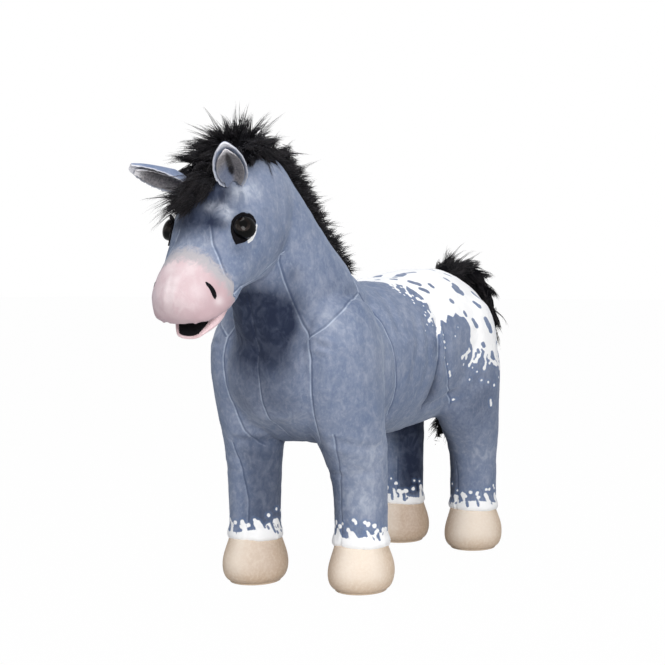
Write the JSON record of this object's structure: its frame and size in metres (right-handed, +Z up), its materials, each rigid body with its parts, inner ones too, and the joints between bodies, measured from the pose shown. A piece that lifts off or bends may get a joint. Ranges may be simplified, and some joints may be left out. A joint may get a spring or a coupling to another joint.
{
  "type": "plush horse",
  "caption": "Standing stuffed toy horse with a spotted blue-grey coat, pink muzzle, open mouth, plush hooves on flat soles, long-fur mane and forelock, soft ears and a tail that lifts.",
  "frame": {"origin": "on the floor, under the centre of the bounding box", "axes": "+Z up; the horse looks along -Y, so +Y runs to the tail; +X is the horse's left side"},
  "size_m": [0.1282, 0.412, 0.3214],
  "materials": {
    "coat_plush": "short plush pile, printed coat pattern",
    "muzzle_plush": "short plush pile",
    "ear_plush": "short plush pile",
    "hoof_plush": "smooth short plush",
    "sole_felt": "felt",
    "long_fur": "long faux fur",
    "black_felt": "felt",
    "white_felt": "felt",
    "eye_plastic": "polished",
    "washer_plastic": "as moulded"
  },
  "bodies": {
    "horse": {"torso": "coat_plush", "neck": "coat_plush", "head": "coat_plush", "muzzle": "muzzle_plush", "lower_lip": "muzzle_plush", "mouth_lining": "black_felt", "eye_left": "eye_plastic", "eye_washer_left": "washer_plastic", "eye_pad_left": "black_felt", "eye_rim_left": "white_felt", "nostril_left": "black_felt", "eye_right": "eye_plastic", "eye_washer_right": "washer_plastic", "eye_pad_right": "black_felt", "eye_rim_right": "white_felt", "nostril_right": "black_felt", "leg_front_left": "coat_plush", "hoof_front_left": "hoof_plush", "sole_front_left": "sole_felt", "leg_front_right": "coat_plush", "hoof_front_right": "hoof_plush", "sole_front_right": "sole_felt", "leg_hind_left": "coat_plush", "hoof_hind_left": "hoof_plush", "sole_hind_left": "sole_felt", "leg_hind_right": "coat_plush", "hoof_hind_right": "hoof_plush", "sole_hind_right": "sole_felt", "mane": "long_fur", "forelock": "long_fur"},
    "ear_left_body": {"ear_left": "coat_plush", "ear_lining_left": "ear_plush"},
    "ear_right_body": {"ear_right": "coat_plush", "ear_lining_right": "ear_plush"},
    "tail": {"tail_dock": "coat_plush", "tail_hair": "long_fur"}
  },
  "joints": [
    {"name": "ear_left_fold", "type": "hinge", "parent": "horse", "child": "ear_left_body", "pos_m": [0.0191, -0.16357, 0.28208], "axis": [0.8116, 0.5584, 0.172], "range_deg": [-16, 26], "stiffness_Nm_per_rad": 0.02},
    {"name": "ear_right_fold", "type": "hinge", "parent": "horse", "child": "ear_right_body", "pos_m": [-0.0191, -0.16357, 0.28208], "axis": [0.8116, -0.5584, -0.172], "range_deg": [-32, 10], "stiffness_Nm_per_rad": 0.02},
    {"name": "tail_lift", "type": "hinge", "parent": "horse", "child": "tail", "pos_m": [0, 0.145, 0.226], "axis": [1, 0, 0], "range_deg": [0, 70]}
  ]
}
